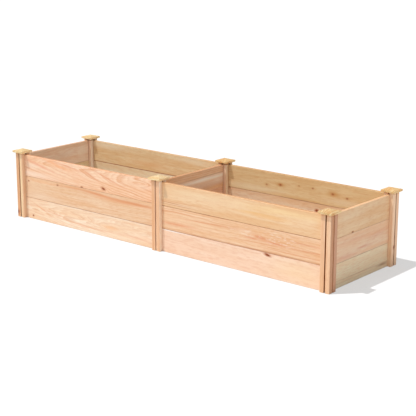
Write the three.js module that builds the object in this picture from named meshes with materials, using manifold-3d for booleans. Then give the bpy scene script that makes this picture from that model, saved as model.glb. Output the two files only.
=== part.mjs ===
// A raised garden bed in two bays. Six grooved posts hold seven walls, each of three stacked boards whose
// dovetail tails slide down the posts' grooves, and every post carries a cap on a dowel that lifts off.
// Millimetres, +Z up, +X along the bed, -Y to the front. The origin is on the ground under the bed's centre.
import * as THREE from 'three';
import { mergeVertices } from 'three/addons/utils/BufferGeometryUtils.js';
import Module from 'manifold-3d';

// The plan of the bed
const baySpacing = 1200; // between post centres along the bed
const bedDepth = 620; // between post centres from front to rear
const fitGap = 0.3; // clearance between pieces that meet

// Posts
const postSide = 63.5;
const postRise = 10.3; // height of the posts' tops above the boards
const postEase = 3; // radius on the upright corners
const grooveMouth = 8;
const grooveFloor = 14.5;
const grooveDepth = 12.5;
const grooveLip = 0.8; // chamfer where the groove meets the post's face

// Boards
const boardHeight = 139.7;
const boardThickness = 19;
const boardEase = 1.6; // radius on the long edges
const courses = ['lower', 'middle', 'upper'];

// Caps and the dowels that locate them
const capOverhang = 13.75; // past each side of the post
const capEdge = 13; // top of the upright rim, above the underside
const capRise = 11.5; // height of the slopes above the rim
const capEase = 4; // chamfer under the rim
const capFlat = 10; // side of the small flat at the top of the slopes
const capRoof = 13.2; // wood left above the dowel's hole
const dowelDiameter = 12;
const dowelEase = 1;
const dowelInPost = 32;

// Sizes that follow from those
const boardPitch = boardHeight + fitGap;
const postHeight = courses.length * boardPitch - fitGap + postRise;
const capSide = postSide + 2 * capOverhang;
const capHeight = capEdge + capRise;
const capHoleDepth = capHeight - capRoof;
const postHoleDepth = dowelInPost + fitGap;
const dowelLength = dowelInPost + capHoleDepth;

const roundSides = 16; // facets on dowels and their holes
const arcSteps = 2;
const cutPast = 1; // cutters run this far past the face that they open

const cedar = {
  blush: 0xf2c9a9,
  tan: 0xe3b488,
  straw: 0xf0cf9f,
  salmon: 0xeabc95,
  golden: 0xd9ab78,
  russet: 0xc08f6c,
  post: 0xebc09c,
  cap: 0xf3d69c,
  dowel: 0xd9b98c,
};

const wasm = await Module();
wasm.setup();

// ---- Geometry helpers

function toSolid(geometry) {
  const bare = geometry.clone();
  bare.deleteAttribute('normal');
  bare.deleteAttribute('uv');
  const merged = mergeVertices(bare);
  const triangles = [];
  for (let i = 0; i < merged.index.count; i += 3) {
    const [a, b, c] = [0, 1, 2].map((step) => merged.index.getX(i + step));
    if (a !== b && b !== c && c !== a) triangles.push(a, b, c); // a lathe leaves slivers on its axis
  }
  return new wasm.Manifold(new wasm.Mesh({
    numProp: 3,
    vertProperties: new Float32Array(merged.attributes.position.array),
    triVerts: new Uint32Array(triangles),
  }));
}

function toGeometry(solid) {
  const { vertProperties, triVerts, numProp } = solid.getMesh();
  const positions = new Float32Array((vertProperties.length / numProp) * 3);
  for (let i = 0; i < positions.length / 3; i++) {
    positions.set(vertProperties.subarray(i * numProp, i * numProp + 3), i * 3);
  }
  const geometry = new THREE.BufferGeometry();
  geometry.setAttribute('position', new THREE.BufferAttribute(positions, 3));
  geometry.setIndex(new THREE.BufferAttribute(new Uint32Array(triVerts), 1));
  geometry.computeVertexNormals();
  return geometry;
}

function extrude(shape, depth) {
  return new THREE.ExtrudeGeometry(shape, { depth, bevelEnabled: false, curveSegments: arcSteps });
}

// A rectangle centred on the origin with rounded corners
function roundedRectangle(width, height, radius) {
  const [x, y] = [width / 2 - radius, height / 2 - radius];
  const shape = new THREE.Shape();
  shape.absarc(x, -y, radius, -Math.PI / 2, 0);
  shape.absarc(x, y, radius, 0, Math.PI / 2);
  shape.absarc(-x, y, radius, Math.PI / 2, Math.PI);
  shape.absarc(-x, -y, radius, Math.PI, Math.PI * 1.5);
  shape.closePath();
  return shape;
}

// A closed profile of [radius, height] points turned about Z
function turned(profile, sides, start = 0) {
  const points = profile.map(([radius, height]) => new THREE.Vector2(radius, height));
  return new THREE.LatheGeometry(points, sides, start).rotateX(Math.PI / 2);
}

// The cutter for a dowel's hole, from one height to another
function dowelHole(low, high) {
  const radius = dowelDiameter / 2 + fitGap;
  return toSolid(turned([[0, low], [radius, low], [radius, high], [0, high]], roundSides));
}

// ---- Posts

// Half the groove's width at a depth below the post's face: it widens evenly towards the floor
const grooveHalf = (depth) => (grooveMouth + (grooveFloor - grooveMouth) * depth / grooveDepth) / 2;

// Square section with rounded corners and one dovetail groove down the middle of each side
function postSection() {
  const half = postSide / 2;
  const side = [
    [-grooveHalf(0) - grooveLip, -half],
    [-grooveHalf(grooveLip), -half + grooveLip],
    [-grooveHalf(grooveDepth), -half + grooveDepth],
    [grooveHalf(grooveDepth), -half + grooveDepth],
    [grooveHalf(grooveLip), -half + grooveLip],
    [grooveHalf(0) + grooveLip, -half],
  ];
  const corner = new THREE.Vector2(half - postEase, -half + postEase);
  const origin = new THREE.Vector2();
  const shape = new THREE.Shape();
  for (let quarter = 0; quarter < 4; quarter++) {
    const turn = quarter * Math.PI / 2;
    side.forEach(([x, y], index) => {
      const point = new THREE.Vector2(x, y).rotateAround(origin, turn);
      if (quarter + index === 0) shape.moveTo(point.x, point.y);
      else shape.lineTo(point.x, point.y);
    });
    const centre = corner.clone().rotateAround(origin, turn);
    shape.absarc(centre.x, centre.y, postEase, turn - Math.PI / 2, turn);
  }
  shape.closePath();
  return shape;
}

function postGeometry() {
  const blank = toSolid(extrude(postSection(), postHeight));
  return toGeometry(blank.subtract(dowelHole(postHeight - postHoleDepth, postHeight + cutPast)));
}

// ---- Boards

// Plan of a board between two posts: square shoulders near the posts' faces and a dovetail tail in each
// groove. `run` is the distance between the centres of the two posts.
function boardPlan(run) {
  const shoulder = (run - postSide) / 2 - fitGap;
  const half = boardThickness / 2;
  const tailLength = grooveDepth;
  const neck = grooveHalf(0) - fitGap;
  const tip = grooveHalf(grooveDepth - fitGap) - fitGap;
  const halfEnd = [
    [shoulder, -half], [shoulder, -neck], [shoulder + fitGap, -neck], [shoulder + tailLength, -tip],
  ];
  const rightEnd = [...halfEnd, ...halfEnd.map(([x, y]) => [x, -y]).reverse()];
  const outline = [...rightEnd, ...rightEnd.map(([x, y]) => [-x, -y])];
  return new THREE.Shape(outline.map(([x, y]) => new THREE.Vector2(x, y)));
}

// The plan cut from an eased plank that lies along X with its lower edge at z = 0
function boardGeometry(run) {
  const plank = extrude(roundedRectangle(boardHeight, boardThickness, boardEase), run)
    .translate(-boardHeight / 2, 0, -run / 2)
    .rotateY(Math.PI / 2);
  const plan = extrude(boardPlan(run), boardHeight);
  return toGeometry(toSolid(plank).intersect(toSolid(plan)));
}

// ---- Caps and dowels

// A square plate with a chamfered rim under four low slopes, drilled from below for its dowel
function capGeometry() {
  const half = capSide / 2;
  const profile = [
    [0, 0], [half - capEase, 0], [half, capEase], [half, capEdge],
    [capFlat / 2, capHeight], [0, capHeight],
  ].map(([distance, height]) => [distance * Math.SQRT2, height]); // out to the corners of the square
  const plate = toSolid(turned(profile, 4, Math.PI / 4));
  return toGeometry(plate.subtract(dowelHole(-cutPast, capHoleDepth)));
}

function dowelGeometry() {
  const radius = dowelDiameter / 2;
  return turned([
    [0, 0], [radius - dowelEase, 0], [radius, dowelEase],
    [radius, dowelLength - dowelEase], [radius - dowelEase, dowelLength], [0, dowelLength],
  ], roundSides);
}

// ---- Assembly

const bed = new THREE.Group();

function place(name, geometry, color, [x, y, z], turn = 0) {
  const material = new THREE.MeshStandardMaterial({ color, roughness: 0.72, metalness: 0 });
  const mesh = new THREE.Mesh(geometry, material);
  mesh.name = name;
  mesh.position.set(x, y, z);
  mesh.rotation.z = turn;
  bed.add(mesh);
}

const columns = { left: -baySpacing, middle: 0, right: baySpacing };
const rows = { front: -bedDepth / 2, rear: bedDepth / 2 };
const post = postGeometry();
const cap = capGeometry();
const dowel = dowelGeometry();
for (const [row, y] of Object.entries(rows)) {
  for (const [column, x] of Object.entries(columns)) {
    const corner = `${row}_${column}`;
    place(`${corner}_post`, post, cedar.post, [x, y, 0]);
    place(`${corner}_cap`, cap, cedar.cap, [x, y, postHeight + fitGap]);
    place(`${corner}_dowel`, dowel, cedar.dowel, [x, y, postHeight - dowelInPost]);
  }
}

// Walls: middle of each in plan, whether it crosses the bed, and its boards' colours from the lower one up
const walls = {
  front_left: { at: [-baySpacing / 2, rows.front], tones: ['blush', 'tan', 'blush'] },
  front_right: { at: [baySpacing / 2, rows.front], tones: ['blush', 'salmon', 'straw'] },
  rear_left: { at: [-baySpacing / 2, rows.rear], tones: ['golden', 'straw', 'golden'] },
  rear_right: { at: [baySpacing / 2, rows.rear], tones: ['golden', 'straw', 'golden'] },
  left_end: { at: [-baySpacing, 0], across: true, tones: ['tan', 'russet', 'tan'] },
  divider: { at: [0, 0], across: true, tones: ['tan', 'russet', 'russet'] },
  right_end: { at: [baySpacing, 0], across: true, tones: ['tan', 'salmon', 'straw'] },
};
const longBoard = boardGeometry(baySpacing);
const crossBoard = boardGeometry(bedDepth);
for (const [wall, { at, across, tones }] of Object.entries(walls)) {
  courses.forEach((course, level) => {
    const geometry = across ? crossBoard : longBoard;
    const turn = across ? Math.PI / 2 : 0;
    place(`${wall}_${course}_board`, geometry, cedar[tones[level]], [...at, level * boardPitch], turn);
  });
}

export default bed;
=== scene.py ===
# A raised garden bed of bare cedar in two bays: its boards, grooved posts, caps and dowels, dressed over the
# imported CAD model. Metres, +Z up, +X along the bed and -Y to the front, as in the CAD model.
import math

import bpy
import numpy as np
from mathutils import Matrix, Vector
from mathutils.geometry import tessellate_polygon


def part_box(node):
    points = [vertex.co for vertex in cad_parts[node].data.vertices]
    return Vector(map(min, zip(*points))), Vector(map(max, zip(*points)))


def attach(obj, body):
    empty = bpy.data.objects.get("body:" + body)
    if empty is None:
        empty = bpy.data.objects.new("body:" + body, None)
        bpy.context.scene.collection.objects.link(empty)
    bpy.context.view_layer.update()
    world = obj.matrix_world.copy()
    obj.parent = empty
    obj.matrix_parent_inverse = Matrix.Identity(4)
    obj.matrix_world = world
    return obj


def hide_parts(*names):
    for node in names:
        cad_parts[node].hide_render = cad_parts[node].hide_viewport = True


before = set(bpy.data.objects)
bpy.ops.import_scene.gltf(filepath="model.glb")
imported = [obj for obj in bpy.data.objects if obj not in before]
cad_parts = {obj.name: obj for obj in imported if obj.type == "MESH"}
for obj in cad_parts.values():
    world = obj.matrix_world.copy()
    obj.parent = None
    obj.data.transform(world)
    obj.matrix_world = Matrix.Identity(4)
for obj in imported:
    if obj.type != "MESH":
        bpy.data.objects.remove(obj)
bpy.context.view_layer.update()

mm = 0.001
whiteLight = (1, 1, 1, 1)
sharpAngle = 38  # degrees between two faces, from which the edge between them is drawn sharp

# The photograph's view
camera = {
    "place": (4.3315, -5.0486, 1.9368),
    "turn": 39.85,  # degrees from +Y towards -X
    "tilt": 14.679,  # degrees below level
    "roll": 0.06,
    "lens": 97.31,  # with Blender's 36 mm sensor
    "reach": 200,  # how far it sees
}
light = {
    "sky": 0.52,
    "sunTravel": (0.311, 0.343, -1),
    "sunLevel": 2.4,
    "sunWidth": 1.3,  # degrees across, which gives the shadow its edge
    "fillTravel": (0.1, 1, -0.35),
    "fillLevel": 0.2,
    "fillWidth": 50,
    "floorLevel": 2.4,  # a second sun that only the floor receives
    "floorSide": 80,
    "floorBounce": 0.48,  # how much light the floor throws back on the object
    "floorShown": 0.3,
    "floorGlow": 0.5,  # added where the camera sees the floor
}


def sunLamp(name, travel, level, width):
    # A sun whose light travels in a direction, and which is some degrees wide
    lamp = bpy.data.lights.new(name, "SUN")
    lamp.energy = level
    lamp.angle = math.radians(width)
    lampObject = bpy.data.objects.new(name, lamp)
    direction = np.array(travel) / np.linalg.norm(travel)
    azimuth = math.atan2(-direction[0], direction[1])
    lampObject.rotation_euler = (math.acos(-direction[2]), 0, azimuth)
    bpy.context.scene.collection.objects.link(lampObject)
    return lampObject


def placeCamera():
    # Turned from +Y about the upright axis, then tilted down, then rolled about its own line of sight
    lens = bpy.data.cameras.new("camera")
    lens.lens = camera["lens"]
    lens.clip_end = camera["reach"]
    cameraObject = bpy.data.objects.new("camera", lens)
    turn, tilt, roll = (math.radians(camera[key]) for key in ("turn", "tilt", "roll"))
    cameraObject.matrix_world = (
        Matrix.Translation(camera["place"])
        @ Matrix.Rotation(turn, 4, "Z")
        @ Matrix.Rotation(math.pi / 2 - tilt, 4, "X")
        @ Matrix.Rotation(roll, 4, "Z")
    )
    bpy.context.scene.collection.objects.link(cameraObject)
    bpy.context.scene.camera = cameraObject


def linear(colour):
    # An sRGB colour, 0 to 255, as the linear light that a socket takes
    share = np.array(colour) / 255
    return (*np.where(share > 0.04045, ((share + 0.055) / 1.055) ** 2.4, share / 12.92).tolist(), 1.0)


class Signal:
    # A socket in a node tree. Arithmetic on it adds Math nodes.
    def __init__(self, shader, socket):
        self.shader = shader
        self.socket = socket

    def math(self, operation, *inputs):
        return self.shader.node("ShaderNodeMath", {"operation": operation}, dict(enumerate(inputs)))

    def __add__(self, other):
        return self.math("ADD", self, other)

    def __sub__(self, other):
        return self.math("SUBTRACT", self, other)

    def __rsub__(self, other):
        return self.math("SUBTRACT", other, self)

    def __mul__(self, other):
        return self.math("MULTIPLY", self, other)

    def __truediv__(self, other):
        return self.math("DIVIDE", self, other)

    __radd__ = __add__
    __rmul__ = __mul__

    def root(self):
        return self.math("SQRT", self)

    def fraction(self):
        return self.math("FRACT", self)

    def size(self):
        return self.math("ABSOLUTE", self)

    def bell(self):
        # e to the power of minus this value
        return self.math("EXPONENT", self * -1)

    def rise(self, low, high):
        # 0 up to low and 1 from high on, with a smooth step between them
        values = {"Value": self, "From Min": low, "From Max": high}
        return self.shader.node("ShaderNodeMapRange", {"interpolation_type": "SMOOTHSTEP"}, values)


class Shader:
    # The node tree of a material or of the world
    def __init__(self, owner):
        owner.use_nodes = True
        self.tree = owner.node_tree
        self.tree.nodes.clear()

    def node(self, kind, settings=None, values=None, output=0):
        made = self.tree.nodes.new(kind)
        for key, setting in (settings or {}).items():
            setattr(made, key, setting)
        for key, value in (values or {}).items():
            if isinstance(value, Signal):
                self.tree.links.new(value.socket, made.inputs[key])
            else:
                made.inputs[key].default_value = value
        return Signal(self, made.outputs[output]) if len(made.outputs) else made

    def mix(self, factor, first, second):
        # From the first colour to the second. Inputs 6 and 7 and output 2 are the Mix node's colours.
        first, second = (c if isinstance(c, Signal) else linear(c) for c in (first, second))
        return self.node("ShaderNodeMix", {"data_type": "RGBA"}, {0: factor, 6: first, 7: second}, 2)

    def tint(self, factor, colour, share):
        # The colour times a share of red, green and blue
        values = {0: factor, 6: colour, 7: (*share, 1)}
        return self.node("ShaderNodeMix", {"data_type": "RGBA", "blend_type": "MULTIPLY"}, values, 2)

    def parts(self, vector):
        split = self.tree.nodes.new("ShaderNodeSeparateXYZ")
        self.tree.links.new(vector.socket, split.inputs[0])
        return [Signal(self, output) for output in split.outputs]

    def noise(self, coordinates, detail):
        # Cloudy, from 0 to 1 and mostly near 0.5
        vector = self.node("ShaderNodeCombineXYZ", None, dict(enumerate(coordinates)))
        return self.node("ShaderNodeTexNoise", None, {"Vector": vector, "Scale": 1, "Detail": detail})


def lightScene():
    sunLamp("sun", light["sunTravel"], light["sunLevel"], light["sunWidth"])
    sunLamp("fill", light["fillTravel"], light["fillLevel"], light["fillWidth"])

    # The world lights the object as a pale sky, and shows white to the camera and in reflections
    world = bpy.data.worlds.new("studio")
    bpy.context.scene.world = world
    shader = Shader(world)
    kinds = ("Is Camera Ray", "Is Glossy Ray", "Is Transmission Ray")
    rays = [shader.node("ShaderNodeLightPath", None, None, kind) for kind in kinds]
    shown = (rays[0] + rays[1] + rays[2]).rise(0, 1)
    sky = shader.node("ShaderNodeBackground", None, {"Color": whiteLight, "Strength": light["sky"]})
    white = shader.node("ShaderNodeBackground", None, {"Color": whiteLight, "Strength": 1})
    both = shader.node("ShaderNodeMixShader", None, {0: shown, 1: sky, 2: white})
    shader.node("ShaderNodeOutputWorld", None, {"Surface": both})

    half = light["floorSide"] / 2
    corners = [(-half, -half, 0), (half, -half, 0), (half, half, 0), (-half, half, 0)]
    mesh = bpy.data.meshes.new("floor")
    mesh.from_pydata(corners, [], [(0, 1, 2, 3)])
    floor = bpy.data.objects.new("floor", mesh)
    bpy.context.scene.collection.objects.link(floor)
    material = bpy.data.materials.new("floor")
    shader = Shader(material)
    seen = shader.node("ShaderNodeLightPath", None, None, "Is Camera Ray")
    bounce, shown = ((light[key],) * 3 + (1,) for key in ("floorBounce", "floorShown"))
    colour = shader.node("ShaderNodeMix", {"data_type": "RGBA"}, {0: seen, 6: bounce, 7: shown}, 2)
    matte = shader.node("ShaderNodeBsdfDiffuse", None, {"Color": colour})
    strength = seen * light["floorGlow"]
    glow = shader.node("ShaderNodeEmission", None, {"Color": whiteLight, "Strength": strength})
    both = shader.node("ShaderNodeAddShader", None, {0: matte, 1: glow})
    shader.node("ShaderNodeOutputMaterial", None, {"Surface": both})
    mesh.materials.append(material)

    receivers = bpy.data.collections.new("floorOnly")
    receivers.objects.link(floor)
    floorSun = sunLamp("floorSun", light["sunTravel"], light["floorLevel"], light["sunWidth"])
    floorSun.light_linking.receiver_collection = receivers


placeCamera()
lightScene()
print("Camera, light and floor placed")


# Cedar's colours, as shares of a piece's own tone
cedarShades = {
    "pale": (1.03, 1.05, 1.08),  # early wood varies from pale to warm
    "warm": (0.99, 0.94, 0.89),
    "late": (0.90, 0.74, 0.60),
    "streak": (0.92, 0.77, 0.66),
    "end": (0.80, 0.70, 0.60),
    # edges, paler: partly wear, partly painted highlight
    "wornAndLit": (1.04, 1.06, 1.09),
    # open top faces, darker: partly weathering, partly painted shade
    "topEdge": (0.86, 0.71, 0.58),
}

# Its noises: length along the grain, width across it, detail, and an offset that keeps one from the next
cedarNoises = {
    "wander": (0.35, 0.05, 1, 0.0),
    "ripple": (0.1, 0.016, 1, 9.1),
    "mottle": (0.5, 0.035, 2, 4.4),
    "streaks": (0.3, 0.004, 3, 7.7),
    "smears": (0.045, 0.009, 2, 5.1),
    "patches": (0.12, 0.007, 2, 2.2),
    "flecks": (0.028, 0.006, 1, 8.8),
    "fibre": (0.03, 0.0007, 3, 1.3),
    "knotEdge": (0.01, 0.004, 1, 5.5),
    "wear": (0.02, 0.01, 2, 6.6),
    "seam": (0.09, 0.05, 2, 3.3),
}

# Where a value starts to show, and where it shows in full
cedarRises = {
    "lateStart": (0.35, 0.88),  # over one ring
    "lateStop": (0.93, 1.0),
    "thinLines": (0.3, 0.95),
    "strongRings": (0.3, 0.7),
    "mottle": (0.28, 0.72),
    "streaks": (0.55, 0.78),
    "smears": (0.42, 0.72),
    "flecks": (0.52, 0.7),
    "fibre": (-0.1, 0.35),
    "knotRim": (0.8, 2.1),  # in radii of the knot
    "knotHeart": (0.45, 1.05),
    "side": (0.6, 0.9),  # by how far a face looks along +X
    "upright": (0.1, 0.7),  # to the sky
    "topEdge": (0.6, 0.95),
    "endGrain": (0.6, 0.95),  # and along the grain
}

# How patches, the paler edges of wear and painted highlight, and grime with painted shade vary: the factor of
# their noise, and what is added to it
cedarCovers = {"patches": (1.1, 0.45), "wear": (0.6, 0.1), "seam": (0.9, 0.5)}

cedar = {
    "fleck": (255, 238, 220),
    "knotHeart": (138, 64, 26),
    "knotRim": (190, 114, 72),
    "seedShift": 1.37,  # how far the noises move from one piece to the next
    "wander": 4,  # gaps between the furthest strays of a ring whose wander is 1
    "knotBend": 1.6,  # gaps that the rings bend at a knot
    "knotBendSize": (2.6, 2.2),  # length and height of that bend, in knots
    "knotUneven": 0.8,
    "knotRimStrength": 0.75,
    "ringNoise": (0.45, 0.8, 3),  # picks the strong rings: steps per ring and per metre, and an offset
    "weakRing": 0.2,
    "thinPerRing": 3.1,  # thin lines between the rings
    "thinLines": 0.3,
    "fibre": 0.22,
    "relief": {"rings": 0.5, "fibre": 0.5, "knots": 0.8},
    "reliefDepth": 0.4 * mm,
    "reliefStrength": 0.35,
    "roughness": {"plain": 0.52, "fibre": 0.2, "late": -0.06, "endGrain": 0.12, "seam": 0.3},
    "specular": 0.3,
}

# What a piece's dictionary may say. Places along and up are in millimetres from the middle of the piece, and
# depth goes into the wood from the side that the camera sees.
plain = {
    "tone": (240, 200, 160),
    "pith": (70, 0),  # the tree's middle: depth and up
    "taper": 0.04,  # how fast the rings drift along the piece, which draws the long points of the figure
    "gap": 5,  # from ring to ring
    "wander": 1.0,  # how far the rings stray, in gaps
    "ripple": 0.4,  # small unevenness of the rings, in gaps
    "lines": 0.5,  # strength of the late wood
    "streaks": 0.35,
    "mottle": 1.0,
    "smears": 0.3,  # strength of short dim smears
    "eyes": [],  # along, up, length, height, rise in gaps: swellings that the rings go round
    "knots": [],  # along, up, radius, stretch, darkness, slope
    "patches": [],  # along, up, length, height, slope, colour, strength
    "flecks": [],  # along, up, length, height, strength of a cloud of small pale flecks
    "topEdge": 0,
    "endDark": 0.7,  # how much darker end grain is
    "dirtAndShade": (160, 84, 42),  # grime and painted shade where boards meet, at the posts, in grooves and under caps
    "side": (1, 1, 1),  # share of the tone on the side that looks along +X, away from the sun: painted light and shade
    "upright": (1, 1, 1),  # and on every side that doesn't look to the sky: painted light and shade
}


def spot(along, up, centreAlong, centreUp, length, height, slope=0):
    # A smooth bell over an ellipse: e to the power of minus the squared distances in lengths and heights
    fromAlong = along - centreAlong * mm
    fromUp = up - centreUp * mm
    if slope:
        fromUp = fromUp - fromAlong * slope
    u = fromAlong / (length * mm)
    v = fromUp / (height * mm)
    return (u * u + v * v).bell()


def cedarMaterial(name, look, seed, axes):
    # Rings round the tree's middle, as the fraction of a distance that wanders, drifts along the piece and
    # swells at eyes and knots. Late wood is a narrow band of each ring.
    look = {**plain, **look}
    material = bpy.data.materials.new(name)
    shader = Shader(material)
    along, depth, up, spread, endOn, topOn, sideOn = axes(shader)
    shift = seed * cedar["seedShift"]
    tone = np.array(look["tone"], float)
    shades = {key: np.clip(tone * share, 0, 255) for key, share in cedarShades.items()}

    def grain(kind):
        length, width, detail, offset = cedarNoises[kind]
        place = (along / length + shift + offset, depth / width - shift, up / width + 2 * shift)
        return shader.noise(place, detail)

    def risen(value, kind):
        return value.rise(*cedarRises[kind])

    def cover(kind):
        factor, added = cedarCovers[kind]
        return grain(kind) * factor + added

    def paint(mask, over):
        nonlocal colour
        colour = shader.mix(mask, colour, over)

    fromDepth = depth - look["pith"][0] * mm
    fromUp = up - look["pith"][1] * mm
    distance = (fromDepth * fromDepth + fromUp * fromUp).root() - along * look["taper"]
    stray = (grain("wander") - 0.5) * (cedar["wander"] * look["wander"])
    stray = stray + (grain("ripple") - 0.5) * look["ripple"]
    rings = distance / (look["gap"] * mm) + stray
    for eyeAlong, eyeUp, length, height, rise in look["eyes"]:
        rings = rings + spot(along, up, eyeAlong, eyeUp, length, height) * rise
    bendLength, bendHeight = cedar["knotBendSize"]
    for knotAlong, knotUp, radius, stretch, _, _ in look["knots"]:
        bend = spot(along, spread, knotAlong, knotUp, radius * stretch * bendLength, radius * bendHeight)
        rings = rings + bend * cedar["knotBend"]
    phase = rings.fraction()
    late = risen(phase, "lateStart") * (1 - risen(phase, "lateStop"))
    perRing, perMetre, offset = cedar["ringNoise"]
    strong = risen(shader.noise((rings * perRing, along * perMetre, offset + shift), 1), "strongRings")
    lateWood = late * (strong * (1 - cedar["weakRing"]) + cedar["weakRing"])

    colour = shader.mix(risen(grain("mottle"), "mottle") * look["mottle"], shades["pale"], shades["warm"])
    paint(lateWood * look["lines"], shades["late"])
    thin = risen((rings * cedar["thinPerRing"]).fraction(), "thinLines")
    paint(thin * (cedar["thinLines"] * look["lines"]), shades["late"])
    for kind in ("streaks", "smears"):
        paint(risen(grain(kind), kind) * look[kind], shades["streak"])
    patchCover = cover("patches")
    for patchAlong, patchUp, length, height, slope, patchColour, strength in look["patches"]:
        mask = spot(along, spread, patchAlong, patchUp, length, height, slope) * strength
        paint(mask * patchCover, patchColour)
    flecks = risen(grain("flecks"), "flecks")
    for fleckAlong, fleckUp, length, height, strength in look["flecks"]:
        cloud = spot(along, spread, fleckAlong, fleckUp, length, height) * strength
        paint(cloud * flecks, cedar["fleck"])

    fibre = grain("fibre")
    paint(risen(fibre - 0.5, "fibre") * cedar["fibre"], shades["late"])
    relief = lateWood * cedar["relief"]["rings"] + fibre * cedar["relief"]["fibre"]
    uneven = (grain("knotEdge") - 0.5) * cedar["knotUneven"]
    for knotAlong, knotUp, radius, stretch, dark, slope in look["knots"]:
        fromAlong = along - knotAlong * mm
        u = fromAlong / (radius * stretch * mm)
        v = (spread - knotUp * mm - fromAlong * slope) / (radius * mm)
        reach = (u * u + v * v).root() + uneven
        rim = 1 - risen(reach, "knotRim")
        heart = 1 - risen(reach, "knotHeart")
        paint(rim * (cedar["knotRimStrength"] * dark), cedar["knotRim"])
        paint(heart * dark, cedar["knotHeart"])
        relief = relief + heart * cedar["relief"]["knots"]

    # Rounded edges painted paler: partly wear, partly a painted highlight
    wornAndLit = shader.node("ShaderNodeAttribute", {"attribute_name": "edge"}, None, "Fac")
    paint(wornAndLit * cover("wear"), shades["wornAndLit"])
    # Painted light and shade: the side that looks along +X, away from the sun, and the sides that don't look
    # to the sky take their own shares of the tone
    if look["side"] != plain["side"]:
        colour = shader.tint(risen(sideOn, "side"), colour, look["side"])
    if look["upright"] != plain["upright"]:
        colour = shader.tint(1 - risen(topOn, "upright"), colour, look["upright"])
    # Open top faces darker: partly weathering, partly painted shade
    if look["topEdge"]:
        paint(risen(topOn, "topEdge") * look["topEdge"], shades["topEdge"])
    # Grime with painted shade: the seam attribute darkens the gaps between boards, the joints at the posts,
    # the grooves and the band under each cap
    seam = shader.node("ShaderNodeAttribute", {"attribute_name": "seam"}, None, "Fac")
    paint(seam * cover("seam"), look["dirtAndShade"])
    endGrain = risen(endOn, "endGrain")
    paint(endGrain * look["endDark"], shades["end"])
    rough = cedar["roughness"]
    roughness = fibre * rough["fibre"] + rough["plain"] + late * rough["late"]
    roughness = roughness + endGrain * rough["endGrain"] + seam * rough["seam"]
    bump = shader.node("ShaderNodeBump", None, {
        "Strength": cedar["reliefStrength"],
        "Distance": cedar["reliefDepth"],
        "Height": relief,
    })
    wood = shader.node("ShaderNodeBsdfPrincipled", None, {
        "Base Color": colour,
        "Roughness": roughness,
        "Specular IOR Level": cedar["specular"],
        "Normal": bump,
    })
    shader.node("ShaderNodeOutputMaterial", None, {"Surface": wood})
    return material


def axesAlong(direction, centre):
    # The wood's own axes at a piece: along the grain, depth from the visible side, and up. Then where knots
    # and patches lie across the grain, which runs round a post's corner, and how far a face looks along the
    # grain, to the sky and along +X.
    def axes(shader):
        place = shader.parts(shader.node("ShaderNodeTexCoord", None, None, "Object"))
        facing = shader.parts(shader.node("ShaderNodeTexCoord", None, None, "Normal"))
        x, y, z = (axis - float(middle) for axis, middle in zip(place, centre))
        if direction == "x":
            return x, y, z, z, facing[0].size(), facing[2], facing[0]
        if direction == "y":
            return y, x * -1, z, z, facing[1].size(), facing[2], facing[0]
        return z, y, x, x + y, facing[2].size(), facing[2], facing[0]

    return axes


def smoothSteps(count, evenness=0.15):
    # Shares from 0 to 1 that lie closer together towards both ends: the share less a part of one sine wave
    even = np.linspace(0, 1, count + 1)
    return even - (1 - evenness) * np.sin(2 * np.pi * even) / (2 * np.pi)


def arc(fromAngle, toAngle, steps):
    # Unit vectors at even angles from one to the other, in degrees
    angles = np.radians(np.linspace(fromAngle, toAngle, steps + 1))
    return np.stack([np.cos(angles), np.sin(angles)], 1)


def roundedOutline(upSteps, acrossSteps, cornerSteps):
    # A rounded rectangle, counterclockwise. `core` goes round the centres of its corners, as shares of the
    # inner half sizes, and `out` is the direction in which the corner radius is added.
    corners = np.array([(1, 1), (-1, 1), (-1, -1), (1, -1)], float)
    core, out = [], []
    for quarter in range(4):
        share = smoothSteps(acrossSteps if quarter % 2 else upSteps)[1:-1, None]
        facing = arc(90 * quarter, 90 * quarter + 90, cornerSteps)
        core += [corners[quarter - 1] * (1 - share) + corners[quarter] * share]
        core += [np.repeat(corners[quarter : quarter + 1], cornerSteps + 1, 0)]
        out += [np.repeat(facing[:1], len(share), 0), facing]
    return np.concatenate(core), np.concatenate(out)


def tubeFaces(stations, around, capStart=True, capEnd=True):
    # Quads between neighbouring sections of a closed tube, and one face over each end
    index = np.arange(stations * around).reshape(stations, around)
    onward = np.roll(index, -1, axis=1)
    faces = np.stack([index[:-1], onward[:-1], onward[1:], index[1:]], -1).reshape(-1, 4).tolist()
    if capStart:
        faces.append(index[0, ::-1].tolist())
    if capEnd:
        faces.append(index[-1].tolist())
    return faces


def waves(at, seed, count=4, longest=0.6, shortening=1.7, peak=1.6):
    # A smooth random line between about -1 and 1: a sum of sine waves, each shorter and lower than the last
    draw = np.random.default_rng(seed)
    total = np.zeros_like(at)
    for number in range(count):
        length = longest / (1 + number * shortening)
        total += np.sin(2 * np.pi * (at / length + draw.random())) * draw.uniform(0.5, 1) / (1 + number)
    return total / peak


def addPiece(node, body, points, faces, material, edge, seam=0.0):
    # Makes the finished mesh, which rides on its body and stands for its CAD node. Its material reads two
    # attributes: edge, 1 on edges painted paler as wear and highlight, and seam, up to 1 where grime and
    # painted shade gather.
    mesh = bpy.data.meshes.new(node + "_wood")
    mesh.from_pydata(points.reshape(-1, 3).tolist(), [], faces)
    mesh.polygons.foreach_set("use_smooth", np.ones(len(mesh.polygons), bool))
    mesh.set_sharp_from_angle(angle=math.radians(sharpAngle))
    for name, values in (("edge", edge), ("seam", seam)):
        attribute = mesh.attributes.new(name, "FLOAT", "POINT")
        everywhere = np.zeros(len(mesh.vertices)) + np.ravel(values)
        attribute.data.foreach_set("value", everywhere.astype(np.float32))
    mesh.materials.append(material)
    mesh.validate()
    piece = bpy.data.objects.new(node + "_wood", mesh)
    bpy.context.scene.collection.objects.link(piece)
    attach(piece, body)
    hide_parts(node)


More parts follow.
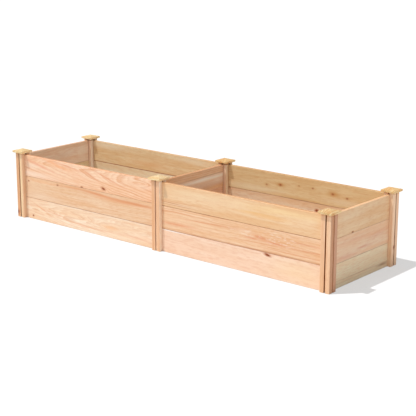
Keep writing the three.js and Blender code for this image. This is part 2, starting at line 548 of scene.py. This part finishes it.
def boxOf(node):
    # Lowest corner, highest corner and centre of a CAD node
    low, high = (np.array(corner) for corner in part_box(node))
    return low, high, (low + high) / 2


def onCorner(facing):
    # 1 where an outline turns a corner, so where it looks along neither axis, and 0 elsewhere
    return (np.abs(facing).min(1) > 0.01) * 1.0


board = {
    "tail": 12.5 * mm,  # dovetail past each shoulder
    "neck": 3.7 * mm,  # half its width at the shoulder
    "tip": 6.87 * mm,  # and at its end
    "tailCorner": 0.6 * mm,
    "tailEase": 0.5 * mm,
    "tailSteps": 5,
    "shoulderEase": 0.5 * mm,
    "easeSteps": 3,
    "ease": 2.2 * mm,  # radius on the long edges
    "easeWear": 0.3,  # share by which that radius varies along the board
    "outline": {"upSteps": 24, "acrossSteps": 5, "cornerSteps": 5},
    "step": 6 * mm,  # between sections
    "cup": 0.25 * mm,
    "cupSeed": 90,
    "bow": 0.2 * mm,
    "bowSeed": 50,
    "bowWaves": {"count": 2, "longest": 1.4},
    "fade": 30 * mm,  # from the shoulders to the full cup and bow
    "knotSwell": 0.25 * mm,
    "seams": (0.8, 0.8),  # how dark the joints below and above a board are painted: grime and painted shade in the gap
    "endSeam": 0.3,  # and the joints with the posts, a painted contact shadow
    "endSeamWidth": 6 * mm,
    "topEdge": 0.8,  # how far the open top face of an upper board is darkened: partly weathering, partly painted shade
    "seed": 1,  # of the first board, and one more for each after it
}

# Slot, tone and figure of each board, and in millimetres how far it stands proud of the wall's plane and how
# far the grime and painted shade at its seams reach
boardLooks = {
    "front_left_lower": {
        "slot": "cedar_blush", "tone": (251, 226, 198), "pith": (75, 4), "taper": 0.045, "gap": 8,
        "wander": 0.8, "lines": 0.75, "streaks": 0.2, "seams": (0.8, 0.75),
        "eyes": [(-366, 4, 70, 12, 1.6), (200, -6, 90, 14, -1.4), (-80, 10, 120, 15, 1.2)],
        "knots": [(-504, -48, 5, 1.3, 0.9, 0)],
        "patches": [
            (198, -6, 60, 12, 0, (246, 190, 138), 0.6), (420, -30, 120, 5, -0.05, (232, 160, 120), 0.5),
            (-422, 12, 70, 4, -0.35, (234, 164, 116), 0.7), (-275, -4, 120, 4, -0.11, (236, 168, 122), 0.6),
            (86, -36, 170, 3, 0.02, (234, 164, 120), 0.6), (-92, -30, 120, 3, -0.04, (236, 168, 124), 0.6),
            (300, -46, 190, 13, 0, (255, 236, 212), 0.5), (0, 42, 120, 14, 0, (255, 236, 212), 0.4),
            (480, -14, 70, 12, 0, (248, 198, 160), 0.35),
        ],
    },
    "front_left_middle": {
        "slot": "cedar_tan", "tone": (239, 205, 169), "pith": (90, -75), "taper": 0.01, "gap": 6,
        "wander": 0.5, "lines": 0.35, "streaks": 0.5, "seams": (0.75, 0.45),
        "knots": [(-538, 41, 4.5, 1.5, 0.7, 0), (-263, 53, 5, 1.8, 0.5, 0)],
        "patches": [
            (-420, 52, 170, 12, 0, (244, 176, 118), 0.35), (-139, 56, 150, 5, 0.02, (224, 148, 100), 0.6),
            (111, 50, 170, 7, -0.04, (224, 146, 98), 0.9), (391, 40, 190, 8, 0, (218, 140, 92), 0.9),
            (289, 36, 260, 13, 0, (232, 166, 120), 0.6), (-400, -46, 200, 20, 0, (248, 224, 200), 0.5),
            (200, -50, 110, 14, 0, (230, 176, 128), 0.35), (-160, 50, 90, 12, 0, (230, 176, 130), 0.3),
            (-440, 6, 140, 16, 0, (248, 222, 192), 0.35),
        ],
    },
    "front_left_upper": {
        "slot": "cedar_blush", "tone": (251, 213, 180), "pith": (85, 38), "taper": 0.061, "gap": 9,
        "wander": 0.35, "ripple": 0.3, "lines": 0.75, "streaks": 0.25, "seams": (0.45, 0),
        "eyes": [(470, 34, 80, 15, 1.8)],
        "knots": [(149, -46, 7, 2.2, 0.95, -0.22), (-41, -68, 6, 1.6, 0.9, 0)],
        "patches": [
            (-290, 50, 130, 12, -0.22, (246, 178, 130), 0.7), (-60, 0, 110, 22, -0.1, (244, 184, 142), 0.35),
            (-500, 8, 70, 14, 0, (255, 234, 214), 0.5), (490, 16, 70, 14, 0, (255, 226, 202), 0.4),
            (-470, -46, 230, 20, -0.02, (253, 224, 200), 0.85),
            (-440, 20, 120, 8, -0.2, (240, 170, 140), 0.6), (-162, 48, 110, 5, -0.12, (228, 148, 106), 0.6),
            (23, 27, 80, 4, -0.42, (230, 150, 108), 0.6), (185, 24, 140, 4, -0.28, (230, 150, 110), 0.6),
        ],
    },
    "front_right_lower": {
        "slot": "cedar_blush", "tone": (246, 212, 184), "pith": (120, 70), "taper": 0.01, "gap": 4,
        "wander": 0.6, "lines": 0.18, "streaks": 0.12, "mottle": 0.5, "proud": 0.6, "seams": (0.8, 0.6),
        "knots": [(208, 60, 7, 2.8, 1, -0.18)],
        # The last patch is a painted highlight: a white line along the top edge at the left end
        "patches": [(420, 0, 200, 60, 0, (252, 220, 176), 0.5), (-480, 66, 110, 3, 0, (255, 248, 240), 1)],
    },
    "front_right_middle": {
        "slot": "cedar_salmon", "tone": (242, 205, 167), "pith": (60, -150), "taper": 0.003, "gap": 17,
        "wander": 0.7, "lines": 0.5, "streaks": 0.9, "seams": (1, 0.8),
        "flecks": [(290, 18, 120, 34, 0.65), (50, 20, 100, 24, 0.5)],
        "patches": [
            (40, 25, 60, 14, 0, (252, 222, 196), 0.4), (290, -6, 170, 40, 0, (230, 168, 120), 0.4),
            (-370, 4, 190, 28, 0, (252, 222, 190), 0.4),
            (-191, 22, 170, 3, 0.029, (220, 138, 94), 0.8), (-442, -27, 130, 9, 0.017, (230, 154, 110), 0.7),
            (-442, 45, 150, 3, 0, (226, 150, 108), 0.6), (159, 8, 50, 9, -0.1, (224, 140, 96), 0.75),
            (93, -5, 45, 4, -0.02, (222, 136, 96), 0.8), (275, -8, 70, 6, 0, (224, 142, 102), 0.7),
            (126, -25, 190, 3, 0.02, (220, 142, 98), 0.6), (467, 24, 110, 3.5, 0, (222, 144, 102), 0.7),
            (479, -13, 100, 3, 0.012, (222, 144, 102), 0.7), (380, -45, 220, 3, 0, (220, 144, 100), 0.6),
            # A painted seam shadow: a dark band along the bottom edge
            (190, -65, 560, 4, 0, (176, 98, 56), 0.55),
        ],
    },
    "front_right_upper": {
        "slot": "cedar_straw", "tone": (239, 205, 163), "pith": (100, 90), "taper": 0.01, "gap": 4.5,
        "wander": 0.7, "lines": 0.25, "streaks": 0.15, "seams": (1, 0),
        "patches": [
            (127, 0, 120, 8, 0.01, (240, 186, 112), 0.5), (240, -8, 120, 10, 0, (240, 184, 116), 0.5),
            (200, 14, 150, 26, 0, (234, 186, 128), 0.4), (-320, 30, 260, 26, 0, (250, 228, 194), 0.5),
            (-420, -50, 160, 12, 0, (248, 226, 196), 0.5), (490, 14, 60, 18, 0, (252, 228, 192), 0.5),
            (-488, -44, 100, 2.5, -0.018, (200, 130, 88), 0.8), (-440, -54, 150, 2.5, 0, (206, 138, 94), 0.8),
            (-400, -34, 200, 3, 0, (218, 154, 110), 0.5),
            (330, 35, 240, 18, 0, (252, 222, 170), 0.6),
        ],
    },
    "rear_left_lower": {"slot": "cedar_golden", "tone": (235, 210, 165), "pith": (80, 20)},
    "rear_left_middle": {
        "slot": "cedar_straw", "tone": (234, 220, 188), "pith": (110, 60), "lines": 0.2, "wander": 0.5,
        "seams": (1, 1), "seamFringe": 1, "endSeam": 0.7,
    },
    "rear_left_upper": {
        "slot": "cedar_golden", "tone": (229, 204, 160), "pith": (60, -20), "taper": 0.02, "lines": 0.25,
        "wander": 0.5, "seams": (1, 0), "seamFringe": 1, "endSeam": 0.7,
        "patches": [
            (-35, -27, 160, 22, 0, (220, 160, 100), 0.6), (-440, 50, 170, 20, 0, (244, 228, 200), 0.6),
            (360, 48, 140, 18, 0, (240, 222, 192), 0.5), (-30, 30, 80, 22, 0, (218, 178, 128), 0.4),
            (220, -48, 90, 14, 0, (214, 174, 128), 0.4),
        ],
    },
    "rear_right_lower": {"slot": "cedar_golden", "tone": (233, 208, 163), "pith": (90, -30)},
    "rear_right_middle": {
        "slot": "cedar_straw", "tone": (231, 203, 169), "pith": (100, 40), "lines": 0.2, "wander": 0.5,
        "seams": (1, 0.7), "seamFringe": 0.6, "endSeam": 0.7,
        "knots": [(104, 27, 8, 1.4, 1, 0)],
    },
    "rear_right_upper": {
        "slot": "cedar_golden", "tone": (224, 195, 146), "pith": (55, 10), "taper": 0.02, "lines": 0.2,
        "wander": 0.5, "seams": (0.7, 0), "seamFringe": 0.6, "endSeam": 0.7,
        "knots": [
            (-267, -10, 4, 1.4, 0.5, 0), (-164, 2, 7, 1.5, 0.6, 0), (-27, 17, 4, 1.4, 0.4, 0),
            (73, 17, 4.5, 1.3, 0.6, 0), (214, 4, 7, 1.5, 0.5, 0), (314, -7, 5, 1.4, 0.6, 0),
        ],
        "patches": [
            (-267, -8, 20, 9, 0, (204, 146, 88), 0.5), (-164, 4, 34, 13, 0, (202, 140, 70), 0.75),
            (-27, 17, 20, 8, 0, (206, 150, 92), 0.5), (73, 17, 22, 10, 0, (206, 150, 92), 0.5),
            (218, 6, 42, 17, 0, (202, 142, 74), 0.75), (314, -7, 24, 10, 0, (206, 150, 92), 0.5),
            (-380, -44, 250, 17, 0, (240, 222, 188), 0.55), (300, -34, 120, 18, 0, (236, 216, 184), 0.5),
            (20, 24, 90, 26, 0, (214, 172, 116), 0.35), (450, 22, 100, 24, 0, (212, 172, 120), 0.35),
        ],
    },
    "left_end_lower": {"slot": "cedar_tan", "tone": (236, 207, 175), "pith": (90, 0)},
    "left_end_middle": {
        "slot": "cedar_russet", "tone": (236, 220, 180), "pith": (80, 40), "seams": (0.6, 0.5),
    },
    "left_end_upper": {
        "slot": "cedar_tan", "tone": (245, 219, 191), "pith": (55, 0), "taper": 0.05, "gap": 8, "lines": 0.28,
        "wander": 0.5, "seams": (0.5, 0), "endSeam": 0.8,
        "eyes": [(137, -5, 60, 14, 1.3), (0, 18, 50, 10, 1)],
        "patches": [(30, 2, 70, 20, 0, (228, 190, 156), 0.45), (225, 0, 50, 50, 0, (255, 238, 214), 0.5)],
    },
    "divider_lower": {"slot": "cedar_tan", "tone": (232, 198, 161), "pith": (90, 30)},
    "divider_middle": {
        "slot": "cedar_russet", "tone": (230, 186, 152), "pith": (80, 90), "lines": 0.4, "seams": (0.5, 0),
        "endSeam": 1,
    },
    "divider_upper": {
        "slot": "cedar_russet", "tone": (237, 199, 161), "pith": (60, 120), "taper": 0.01, "gap": 9,
        "lines": 0.6, "wander": 0.4, "seams": (0, 0), "endSeam": 1,
        "patches": [
            (130, 8, 400, 13, 0.012, (252, 241, 224), 1), (130, 26, 400, 2.5, 0.012, (150, 104, 76), 0.4),
            (130, -28, 400, 18, 0, (226, 194, 170), 0.7), (235, -16, 60, 14, 0, (250, 232, 212), 0.6),
            (110, -50, 60, 14, 0, (214, 172, 140), 0.5),
        ],
    },
    "right_end_lower": {
        "slot": "cedar_tan", "tone": (255, 228, 191), "pith": (110, -90), "taper": 0.015, "lines": 0.25,
        "gap": 8, "wander": 0.5, "streaks": 0.2, "mottle": 0.5, "seams": (0.5, 0.4),
        "patches": [
            (0, -32, 300, 3, -0.01, (186, 136, 98), 0.35), (-60, -48, 300, 3, -0.01, (190, 142, 104), 0.3),
            (60, -52, 200, 9, 0, (255, 232, 198), 0.5), (150, 30, 160, 26, 0, (246, 212, 172), 0.3),
            (224, -42, 50, 7, 0, (160, 104, 66), 0.7),
        ],
    },
    "right_end_middle": {
        "slot": "cedar_salmon", "tone": (253, 216, 182), "pith": (90, 60), "taper": 0.03, "gap": 6,
        "lines": 0.14, "wander": 0.8, "streaks": 0.2, "seams": (0.4, 0.25),
        "patches": [
            (25, -31, 50, 7, 0, (226, 146, 112), 0.6), (-163, -50, 90, 14, 0, (236, 166, 136), 0.45),
            (170, 10, 90, 20, 0.1, (236, 172, 142), 0.35), (-60, 30, 120, 14, -0.05, (242, 188, 158), 0.4),
        ],
    },
    "right_end_upper": {
        "slot": "cedar_straw", "tone": (246, 212, 170), "pith": (95, 60), "taper": 0.03, "gap": 8,
        "lines": 0.2, "wander": 0.6, "seams": (0.25, 0), "topEdge": 0.45,
        "knots": [(-97, -66, 5, 1.8, 0.8, 0)],
        "patches": [(-135, 32, 120, 20, 0, (252, 224, 188), 0.4)],
    },
}


def boardSections(halfLength, halfThickness):
    # Half of a board's sections from its middle outwards: place along, half thickness, corner radius and how
    # far the ends of the section are drawn in
    shoulder = halfLength - board["tail"]
    ease, tailEase = board["shoulderEase"], board["tailEase"]
    bend = arc(90, 0, board["easeSteps"])[1:]
    spread = np.linspace(0, 1, board["tailSteps"] + 1)
    along = [
        shoulder - ease + ease * bend[:, 0],
        shoulder + spread * (board["tail"] - tailEase),
        [halfLength],
    ]
    thickness = [
        halfThickness - ease + ease * bend[:, 1],
        board["neck"] + spread * (board["tip"] - board["neck"]),
        [board["tip"] - tailEase],
    ]
    drawnIn = [np.zeros(len(bend)), np.zeros(len(spread)), [tailEase]]
    radius = [np.full(len(bend), board["ease"]), np.full(len(spread) + 1, board["tailCorner"])]
    return [np.concatenate(values) for values in (along, thickness, radius, drawnIn)]


def makeBoard(node, look, seed):
    # Rounded sections set along the board: full thickness between the shoulders, then a tail that widens
    # towards its end. The faces bow a little, swell at knots and stand proud by the board's own amount.
    low, high, centre = boxOf(node)
    half = (high - low) / 2
    across = half[1] > half[0]  # a board that lies across the bed
    halfLength, halfThickness, halfHeight = (half[1], half[0], half[2]) if across else half
    endAlong, endThickness, endRadius, endIn = boardSections(halfLength, halfThickness)
    inner = halfLength - board["tail"] - board["shoulderEase"]
    middle = (2 * smoothSteps(round(2 * inner / board["step"])) - 1) * inner
    wear = 1 + board["easeWear"] * waves(middle, seed)
    zeros = np.zeros_like(middle)
    along = np.concatenate([-endAlong[::-1], middle, endAlong])
    thickness = np.concatenate([endThickness[::-1], zeros + halfThickness, endThickness])
    radius = np.concatenate([endRadius[::-1], board["ease"] * wear, endRadius])
    drawnIn = np.concatenate([endIn[::-1], zeros, endIn])

    core, out = roundedOutline(**board["outline"])
    thickness, radius, drawnIn = thickness[:, None], radius[:, None], drawnIn[:, None]
    depth = core[:, 0] * (thickness - radius) + out[:, 0] * radius
    up = core[:, 1] * (halfHeight - drawnIn - radius) + out[:, 1] * radius
    free = np.clip((inner - np.abs(along)) / board["fade"], 0, 1)[:, None]  # 0 at the shoulders
    bow = waves(along, seed + board["bowSeed"], **board["bowWaves"])[:, None] * board["bow"]
    cupped = waves(np.array([0.0]), seed + board["cupSeed"])[0]
    cup = board["cup"] * (1 - 3 * (up / halfHeight) ** 2) * cupped
    depth = depth + free * (bow + cup - look.get("proud", 0) * mm)
    for knotAlong, knotUp, size, stretch, _, _ in look.get("knots", []):
        u = (along[:, None] - knotAlong * mm) / (size * stretch * mm)
        v = (up - knotUp * mm) / (size * mm)
        depth = depth + core[:, 0] * np.exp(-(u**2 + v**2)) * board["knotSwell"]
    along = np.broadcast_to(along[:, None], depth.shape)
    local = (-depth, along, up) if across else (along, depth, up)
    points = np.stack(local, -1) + centre

    edge = np.broadcast_to(onCorner(out), depth.shape)
    # Grime and painted shade in the gaps above and below, and a painted contact shadow at the joints with the
    # posts
    below, above = look.get("seams", board["seams"])
    topOpen = node.endswith("upper_board")
    strength = np.where(up < 0, below, 0 if topOpen else above)
    reach = radius + look.get("seamFringe", 0) * mm
    seam = np.clip((np.abs(up) - halfHeight + reach) / reach, 0, 1) ** 0.5 * strength
    width = board["endSeamWidth"]
    atEnd = np.clip((np.abs(along) - inner + width) / width, 0, 1) * look.get("endSeam", board["endSeam"])
    seam = np.maximum(seam, atEnd)
    shown = {**look, "topEdge": look.get("topEdge", board["topEdge"]) * topOpen}
    direction = axesAlong("y" if across else "x", centre)
    material = cedarMaterial(node.removesuffix("_board"), shown, seed, direction)
    addPiece(node, "bed", points, tubeFaces(*depth.shape), material, edge, seam)


for number, (name, look) in enumerate(boardLooks.items()):
    makeBoard(name + "_board", look, number + board["seed"])
print(f"{len(boardLooks)} boards made")


post = {
    "corner": 3 * mm,
    "mouth": 8 * mm,  # width of a groove at the face
    "floor": 14.5 * mm,  # and at its floor
    "depth": 12.5 * mm,
    "lip": 0.8 * mm,
    "floorCorner": 0.5 * mm,
    "wallFoot": 1 * mm,  # from the groove's floor to the straight part of its wall
    "endEase": 0.8 * mm,
    "steps": {"end": 3, "floorCorner": 2, "wall": 4, "lip": 3, "face": 8, "corner": 3},
    "sections": 64,
    "wornAndLitBelow": 0.95,  # a face lies on a rounded edge, painted paler as wear and highlight, where it looks along neither X nor Y by this much
    "hole": 6.3 * mm,  # radius
    "holeDepth": 32.3 * mm,
    "holeSides": 40,
    "holeRings": 6,
    "grooveDirtAndShade": (0.4, 0.4),  # grime and painted shade in the grooves that look to the front or rear, and in those at the sides
    "dirtAndShadeStart": 1 * mm,  # below the face
    "dirtAndShadeFade": 5 * mm,
    "shadeUnderCap": 0.25,  # painted shade on the last bit of a post below its cap
    "shadeHeight": 14 * mm,
    "shadeFade": 6 * mm,
    "seed": 31,
}
postGrain = {"streaks": 0.5, "gap": 4, "taper": 0.01, "dirtAndShade": (146, 84, 26)}
# The side shares paint light and shade on the face that looks along +X, away from the sun. The patches paint
# the left rib of a face darker and the right rib paler: partly heartwood and sapwood, partly painted shade
# and highlight.
postLooks = {
    "front_left": {
        "tone": (239, 201, 163), "side": (1.05, 1.13, 1.21), "grooveDirtAndShade": (0.8, 0.4), "pith": (60, 40),
        "knots": [(-181, -60, 12, 1.3, 1, 0)],
        "patches": [(0, -49, 300, 9, 0, (218, 158, 110), 0.7), (0, -17, 300, 7, 0, (248, 224, 178), 0.8)],
    },
    "front_middle": {
        "tone": (241, 200, 161), "side": (1.2, 1.6, 2.1), "grooveDirtAndShade": (0.35, 0.3), "pith": (70, -50),
        "patches": [(0, -49, 400, 9, 0, (228, 166, 118), 0.6), (0, -14, 400, 9, 0, (248, 204, 168), 0.4)],
    },
    "front_right": {
        "tone": (242, 202, 163), "side": (0.79, 0.68, 0.65), "grooveDirtAndShade": (1, 0.15), "dirtAndShade": (172, 98, 24),
        "pith": (50, 60),
        "patches": [
            (0, 48, 400, 9, 0, (252, 206, 178), 0.7), (0, -14, 400, 9, 0, (248, 208, 172), 0.5),
            (0, -49, 400, 9, 0, (236, 186, 144), 0.5),
        ],
    },
    "rear_left": {"tone": (250, 226, 200), "side": (1.1, 1.3, 1.46), "pith": (60, 40), "shadeUnderCap": 0.7},
    "rear_middle": {"tone": (250, 222, 192), "side": (0.98, 1.05, 1.03), "pith": (-60, 40), "shadeUnderCap": 0.75},
    "rear_right": {
        "tone": (255, 224, 190), "side": (1.08, 1, 0.98), "pith": (60, -50), "grooveDirtAndShade": (0.4, 0.65),
        "knots": [(-103, 28, 6, 1.7, 1, 0)],
        "patches": [
            (0, 15, 400, 9, 0, (255, 230, 198), 0.8), (0, 48, 400, 9, 0, (246, 206, 170), 0.6),
            (-60, 31, 90, 6, 0, (176, 100, 66), 0.5), (0, -46, 400, 12, 0, (240, 184, 142), 0.5),
        ],
    },
}


def postOutline(half):
    # Section of a post: each side goes from the middle of its groove's floor up the flared wall, over a
    # rounded lip and along the face to the corner, then the same mirrored. Counterclockwise.
    mouth, floor, depth, lip = post["mouth"] / 2, post["floor"] / 2, post["depth"], post["lip"]
    foot, corner, steps = post["wallFoot"], post["corner"], post["steps"]
    slope = (floor - mouth) / depth
    floorRound = np.array([floor, depth]) - post["floorCorner"] * (1 - arc(0, 90, steps["floorCorner"])[::-1])
    wallShare = np.linspace(0, 1, steps["wall"] + 1)[1:-1, None]
    wallFoot, wallHead = np.array([floor - slope * foot, depth - foot]), np.array([mouth + slope * lip, lip])
    wall = wallFoot * (1 - wallShare) + wallHead * wallShare
    lipRound = np.array([mouth + lip, lip]) + lip * arc(180, 270, steps["lip"])
    faceShare = smoothSteps(steps["face"])[1:-1, None]
    face = np.array([mouth + lip, 0]) * (1 - faceShare) + np.array([half - corner, 0]) * faceShare
    cornerRound = np.array([half - corner, corner]) + corner * arc(-90, -45, steps["corner"])
    halfSide = np.concatenate([[[0, depth]], floorRound, wall, lipRound, face, cornerRound])
    mirrored = halfSide[:0:-1] * [-1, 1]
    side = np.concatenate([mirrored[1:], halfSide]) - [0, half]
    turned = []
    for quarter in range(4):
        cosine, sine = math.cos(quarter * math.pi / 2), math.sin(quarter * math.pi / 2)
        turned.append(side @ np.array([[cosine, sine], [-sine, cosine]]))
    return np.concatenate(turned)


def outwardNormals(outline):
    # Right-hand normals of a counterclockwise outline, from each point's neighbours
    run = np.roll(outline, -1, 0) - np.roll(outline, 1, 0)
    normal = np.stack([run[:, 1], -run[:, 0]], 1)
    return normal / np.linalg.norm(normal, axis=1, keepdims=True)


def atHeights(plan, heights):
    # Rings of points in plan, each ring at its own height
    upright = np.broadcast_to(heights[:, None, None], (len(heights), plan.shape[-2], 1))
    return np.concatenate([np.broadcast_to(plan, (len(heights), *plan.shape[-2:])), upright], -1)


def makePost(corner, look, seed):
    # The section carried up the post, drawn in along its normals over a quarter circle at both ends, with a
    # round blind hole in the top face, which is triangulated round it
    node = corner + "_post"
    low, high, centre = boxOf(node)
    half = (high[0] - low[0]) / 2
    outline = postOutline(half)
    normals = outwardNormals(outline)
    ease = post["endEase"]
    bend = arc(0, 90, post["steps"]["end"])
    bottom, top = low[2] + ease, high[2] - ease
    middle = bottom + smoothSteps(post["sections"]) * (top - bottom)
    height = np.concatenate([bottom - ease * bend[:0:-1, 1], middle, top + ease * bend[1:, 1]])
    inset = np.concatenate([ease * (1 - bend[:0:-1, 0]), np.zeros_like(middle), ease * (1 - bend[1:, 0])])
    points = atHeights(outline - inset[:, None, None] * normals + centre[:2], height)
    stations, around = points.shape[:2]
    faces = tubeFaces(stations, around, capEnd=False)

    # The hole for the dowel, from its rim in the top face down to its floor
    rings, sides = post["holeRings"], post["holeSides"]
    ring = arc(0, 360, sides)[:-1] * post["hole"] + centre[:2]
    hole = atHeights(ring, high[2] - np.linspace(0, 1, rings) * post["holeDepth"])
    holeStart = stations * around
    for face in tubeFaces(rings, sides, capStart=False):
        faces.append([index + holeStart for index in face])
    topLoops = [points[-1].tolist(), hole[0].tolist()]
    numbers = np.concatenate([np.arange(holeStart - around, holeStart), holeStart + np.arange(sides)])
    flat = np.concatenate(topLoops)
    for triangle in tessellate_polygon(topLoops):
        a, b, c = flat[list(triangle)][:, :2]
        turnsLeft = (b[0] - a[0]) * (c[1] - a[1]) - (b[1] - a[1]) * (c[0] - a[0]) > 0
        faces.append(numbers[list(triangle if turnsLeft else triangle[::-1])].tolist())

    allPoints = np.concatenate([points.reshape(-1, 3), hole.reshape(-1, 3)])
    clean = np.zeros(rings * sides)
    wornAndLit = (np.abs(normals).max(1) < post["wornAndLitBelow"]) * 1.0
    edge = np.concatenate([np.tile(wornAndLit, stations), clean])
    # Painted shade with grime, deep in the grooves
    frontDirtAndShade, sideDirtAndShade = look.get("grooveDirtAndShade", post["grooveDirtAndShade"])
    inGroove = np.clip((half - np.abs(outline).max(1) - post["dirtAndShadeStart"]) / post["dirtAndShadeFade"], 0, 1)
    dirtAndShade = inGroove * np.where(np.abs(outline[:, 1]) > np.abs(outline[:, 0]), frontDirtAndShade, sideDirtAndShade)
    # Painted shade in a band under the cap, darkest in the grooves
    capShade = np.maximum(look.get("shadeUnderCap", post["shadeUnderCap"]), inGroove)
    nearCap = np.clip((height - high[2] + post["shadeHeight"]) / post["shadeFade"], 0, 1)[:, None] * capShade
    seam = np.concatenate([np.maximum(dirtAndShade, nearCap).ravel(), clean])
    material = cedarMaterial(node, {**postGrain, **look}, seed, axesAlong("z", centre))
    addPiece(node, "bed", allPoints, faces, material, edge, seam)


for number, (corner, look) in enumerate(postLooks.items()):
    makePost(corner, look, number + post["seed"])
print(f"{len(postLooks)} posts made")


cap = {
    "rim": 13 * mm,  # top of the upright edge
    "flat": 5 * mm,  # half the small flat on top
    "crown": 4 * mm,  # radius between that flat and the slopes
    "crownIn": 2 * mm,
    "under": 4 * mm,  # chamfer below the edge
    "underEase": 0.1 * mm,
    "ease": 0.7 * mm,
    "easeDown": 0.6,  # share of that radius by which the rim's top lies lower
    "corner": 1.2 * mm,
    "cornerShare": 0.3,  # and never more than this share of the ring's half width
    "steps": {"crown": 3, "slope": 14, "ease": 4, "side": 4, "under": 8},
    "underStop": 2 * mm,  # from the hole to the last square ring
    "outline": {"upSteps": 14, "acrossSteps": 14, "cornerSteps": 4},
    "hole": 6.3 * mm,  # radius
    "holeDepth": 11.3 * mm,
    "holeRings": 5,
    "seed": 41,
}
# Their side and upright shares are painted light and shade: the rims, and the rim that looks along +X, take
# their own shares of the tone apart from the tops
capGrain = {
    "streaks": 0.7, "smears": 0.5, "gap": 13, "taper": 0.06, "wander": 1.2, "lines": 1.2,
    "endDark": 0.15, "side": (1.18, 1.15, 1.16), "upright": (1.2, 1.29, 1.38),
}
capLooks = {
    "front_left": {"tone": (232, 215, 166), "pith": (65, -20), "grain": "y"},
    "front_middle": {"tone": (231, 215, 171), "pith": (-70, -25)},
    "front_right": {"tone": (222, 200, 151), "pith": (60, -30), "grain": "y"},
    "rear_left": {"tone": (233, 217, 171), "pith": (-65, -20)},
    "rear_middle": {
        "tone": (219, 186, 129), "pith": (70, -30), "grain": "y", "side": (1.02, 0.96, 0.93),
        "upright": (1.38, 1.6, 1.8),
    },
    "rear_right": {
        "tone": (224, 196, 141), "pith": (-60, -25), "grain": "y", "side": (1.04, 0.98, 0.94),
        "upright": (1.28, 1.42, 1.58),
    },
}
dowel = {
    "flutes": 18,
    "fluteDepth": 0.3 * mm,
    "fluteSharpness": 6,
    "sidesPerFlute": 8,
    "chamfer": 1 * mm,
    "sections": 18,
    "seed": 51,
}
dowelLook = {"tone": (226, 196, 150), "gap": 2.5, "lines": 0.2, "streaks": 0.3, "pith": (30, 10)}


def makeCap(corner, look, seed):
    # Square rings with rounded corners from the top down over the slopes, the rim and the underside, then
    # round rings up the dowel's hole
    node = corner + "_cap"
    low, high, centre = boxOf(node)
    half = (high[0] - low[0]) / 2
    height = high[2] - low[2]
    rim, flat, under, ease = cap["rim"], cap["flat"], cap["under"], cap["ease"]
    lean = math.degrees(math.atan((height - rim) / (half - flat)))
    steps = cap["steps"]
    crown = arc(90, 90 - lean, steps["crown"]) * cap["crown"]
    crownWidth = flat - cap["crownIn"] + crown[:, 0]
    crownHeight = height - cap["crown"] + crown[:, 1]
    turnEdge = arc(90 - lean, 0, steps["ease"]) * ease
    edgeWidth = half - ease + turnEdge[:, 0]
    edgeHeight = rim - ease * cap["easeDown"] + turnEdge[:, 1]
    share = smoothSteps(steps["slope"])[1:-1]
    slopeWidth = crownWidth[-1] * (1 - share) + edgeWidth[0] * share
    slopeHeight = crownHeight[-1] * (1 - share) + edgeHeight[0] * share
    soft = cap["underEase"]
    side = np.linspace(edgeHeight[-1], under + 3 * soft, steps["side"] + 1)[1:]
    chamferWidth = [half - 2 * soft, half - under + soft, half - under - 3 * soft]
    chamferHeight = [under - soft, 2 * soft, 0]
    inShare = np.linspace(0, 1, steps["under"] + 1)[1:-1]
    inward = half - under - inShare * (half - under - cap["hole"] - cap["underStop"])
    sideWidth, inwardHeight = np.full(len(side), half), np.zeros(len(inward))
    width = np.concatenate([crownWidth, slopeWidth, edgeWidth, sideWidth, chamferWidth, inward])
    tall = np.concatenate([crownHeight, slopeHeight, edgeHeight, side, chamferHeight, inwardHeight])
    core, out = roundedOutline(**cap["outline"])
    radius = np.minimum(cap["corner"], width * cap["cornerShare"])[:, None, None]
    square = core * (width[:, None, None] - radius) + out * radius
    heading = square[-1] / np.linalg.norm(square[-1], axis=1, keepdims=True)
    holeHeights = np.linspace(0, 1, cap["holeRings"]) * cap["holeDepth"]
    bore = np.broadcast_to(heading * cap["hole"], (cap["holeRings"], *heading.shape))
    plan = np.concatenate([square, bore]) + centre[:2]
    points = atHeights(plan, low[2] + np.concatenate([tall, holeHeights]))
    points = points[::-1]  # from the hole outwards and up, so that faces point outwards
    edge = np.broadcast_to(onCorner(out), points.shape[:2])
    grain = axesAlong(look.get("grain", "x"), centre)
    material = cedarMaterial(node, {**capGrain, **look}, seed, grain)
    addPiece(node, corner + "_lid", points, tubeFaces(*points.shape[:2]), material, edge)


def makeDowel(corner, seed):
    # A pin whose radius dips at each flute, as the power of a cosine, and narrows over the chamfered ends
    node = corner + "_dowel"
    low, high, centre = boxOf(node)
    radius = (high[0] - low[0]) / 2
    flutes, chamfer = dowel["flutes"], dowel["chamfer"]
    angle = np.linspace(0, 2 * np.pi, flutes * dowel["sidesPerFlute"], endpoint=False)
    flute = np.abs(np.cos(angle * flutes / 2)) ** dowel["fluteSharpness"] * dowel["fluteDepth"]
    middle = low[2] + chamfer + smoothSteps(dowel["sections"]) * (high[2] - low[2] - 2 * chamfer)
    height = np.concatenate([[low[2]], middle, [high[2]]])
    narrow = np.concatenate([[chamfer], np.zeros_like(middle), [chamfer]])[:, None]
    reach = radius - narrow - flute
    plan = np.stack([centre[0] + reach * np.cos(angle), centre[1] + reach * np.sin(angle)], -1)
    points = atHeights(plan, height)
    material = cedarMaterial(node, dowelLook, seed, axesAlong("z", centre))
    addPiece(node, corner + "_lid", points, tubeFaces(*reach.shape), material, 0.0)


for number, (corner, look) in enumerate(capLooks.items()):
    makeCap(corner, look, number + cap["seed"])
    makeDowel(corner, number + dowel["seed"])
print(f"{len(capLooks)} caps and dowels made")

bpy.context.scene.view_settings.view_transform = "Standard"
